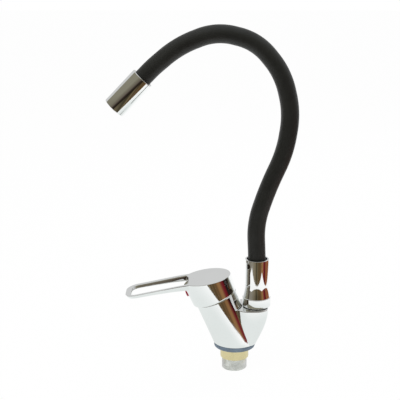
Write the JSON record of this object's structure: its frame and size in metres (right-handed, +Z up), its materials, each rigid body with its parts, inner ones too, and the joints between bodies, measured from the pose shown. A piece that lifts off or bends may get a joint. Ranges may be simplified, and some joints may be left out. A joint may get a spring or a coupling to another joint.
{
  "type": "flexible kitchen faucet",
  "caption": "Single-hole kitchen mixer tap with a loop lever handle, a leaning cartridge body and a bendable hose spout that swivels and keeps its shape.",
  "frame": {"origin": "centre of the tap hole on the deck surface, under the gasket", "axes": "+Z up; the lever and the outlet point to -X, the hose collar stands at +X; symmetric about Y = 0 at rest"},
  "size_m": [0.2024, 0.053, 0.3788],
  "materials": {
    "chrome": "polished chrome plate over cast brass",
    "brass": "turned bare brass",
    "steel": "plain machined steel, lightly plated",
    "dark_silicone": "matte charcoal silicone",
    "inner_tube": "smooth drinking-water hose liner",
    "gasket": "matte blue-grey rubber",
    "black_rubber": "matte black rubber",
    "white_plastic": "moulded off-white acetal",
    "ceramic": "lapped white alumina ceramic",
    "index_red": "glossy crimson index plug"
  },
  "bodies": {
    "base": {"body_casting": "chrome", "deck_gasket": "gasket", "brass_collar": "brass", "threaded_shank": "steel", "cartridge_base_seal": "black_rubber", "cartridge_housing": "white_plastic", "fixed_ceramic_disc": "ceramic", "cartridge_nut": "brass", "cartridge_dome": "chrome", "spout_thrust_ring": "white_plastic"},
    "rotor": {"stem_carrier": "white_plastic", "pivot_pin": "steel"},
    "lever": {"handle": "chrome", "control_stem": "steel", "handle_screw": "steel", "index_plug": "index_red"},
    "disc": {"moving_ceramic_disc": "ceramic", "disc_coupler": "white_plastic"},
    "spout": {"spout_collar": "chrome", "spout_oring_lower": "black_rubber", "spout_oring_upper": "black_rubber", "spout_snap_ring": "steel", "hose_tail": "brass", "lower_ferrule": "steel", "hose_sleeve_0": "dark_silicone", "hose_core_0": "inner_tube"},
    "hose_1": {"hose_sleeve_1": "dark_silicone", "hose_core_1": "inner_tube"},
    "hose_2": {"hose_sleeve_2": "dark_silicone", "hose_core_2": "inner_tube"},
    "hose_3": {"hose_sleeve_3": "dark_silicone", "hose_core_3": "inner_tube"},
    "hose_4": {"hose_sleeve_4": "dark_silicone", "hose_core_4": "inner_tube"},
    "hose_5": {"hose_sleeve_5": "dark_silicone", "hose_core_5": "inner_tube"},
    "hose_6": {"hose_sleeve_6": "dark_silicone", "hose_core_6": "inner_tube"},
    "hose_7": {"hose_sleeve_7": "dark_silicone", "hose_core_7": "inner_tube"},
    "hose_8": {"hose_sleeve_8": "dark_silicone", "hose_core_8": "inner_tube"},
    "outlet": {"hose_sleeve_9": "dark_silicone", "hose_core_9": "inner_tube", "upper_ferrule": "steel", "outlet_adapter": "brass", "aerator_sleeve": "chrome", "aerator_washer": "black_rubber", "aerator_insert": "white_plastic"}
  },
  "joints": [
    {"name": "handle_swivel", "type": "hinge", "parent": "base", "child": "rotor", "pos_m": [-0.01646, 0, 0.04663], "axis": [-0.3827, 0, 0.9239], "range_deg": [-45, 45]},
    {"name": "handle_lift", "type": "hinge", "parent": "rotor", "child": "lever", "pos_m": [-0.01646, 0, 0.04663], "axis": [0, 1, 0], "range_deg": [0, 25]},
    {"name": "disc_slide", "type": "slide", "parent": "rotor", "child": "disc", "axis": [-0.9239, 0, -0.3827], "range_m": [0, 0.00372]},
    {"name": "spout_swivel", "type": "hinge", "parent": "base", "child": "spout", "pos_m": [0.0237, 0, 0.047], "axis": [0, 0, 1], "continuous": true},
    {"name": "hose_bend_1", "type": "hinge", "parent": "spout", "child": "hose_1", "pos_m": [0.02259, 0, 0.12058], "axis": [0, 1, 0], "range_deg": [-30, 30]},
    {"name": "hose_bend_2", "type": "hinge", "parent": "hose_1", "child": "hose_2", "pos_m": [0.02799, 0, 0.16163], "axis": [0, 1, 0], "range_deg": [-30, 30]},
    {"name": "hose_bend_3", "type": "hinge", "parent": "hose_2", "child": "hose_3", "pos_m": [0.04296, 0, 0.20063], "axis": [0.9135, 0, -0.4067], "range_deg": [-30, 30]},
    {"name": "hose_bend_4", "type": "hinge", "parent": "hose_3", "child": "hose_4", "pos_m": [0.05442, 0, 0.24059], "axis": [0, 1, 0], "range_deg": [-30, 30]},
    {"name": "hose_bend_5", "type": "hinge", "parent": "hose_4", "child": "hose_5", "pos_m": [0.05225, 0, 0.28191], "axis": [0, 1, 0], "range_deg": [-15, 35]},
    {"name": "hose_bend_6", "type": "hinge", "parent": "hose_5", "child": "hose_6", "pos_m": [0.03355, 0, 0.31862], "axis": [0.766, 0, 0.6428], "range_deg": [-30, 30]},
    {"name": "hose_bend_7", "type": "hinge", "parent": "hose_6", "child": "hose_7", "pos_m": [-0.00093, 0, 0.34016], "axis": [0, 1, 0], "range_deg": [-12, 35]},
    {"name": "hose_bend_8", "type": "hinge", "parent": "hose_7", "child": "hose_8", "pos_m": [-0.04158, 0, 0.33768], "axis": [0, 1, 0], "range_deg": [-20, 35]},
    {"name": "hose_bend_9", "type": "hinge", "parent": "hose_8", "child": "outlet", "pos_m": [-0.07732, 0, 0.31663], "axis": [0, 1, 0], "range_deg": [-30, 30]}
  ],
  "couplings": [
    {"joint": "disc_slide", "follows": "handle_lift", "m_per_rad": 0.008427}
  ]
}
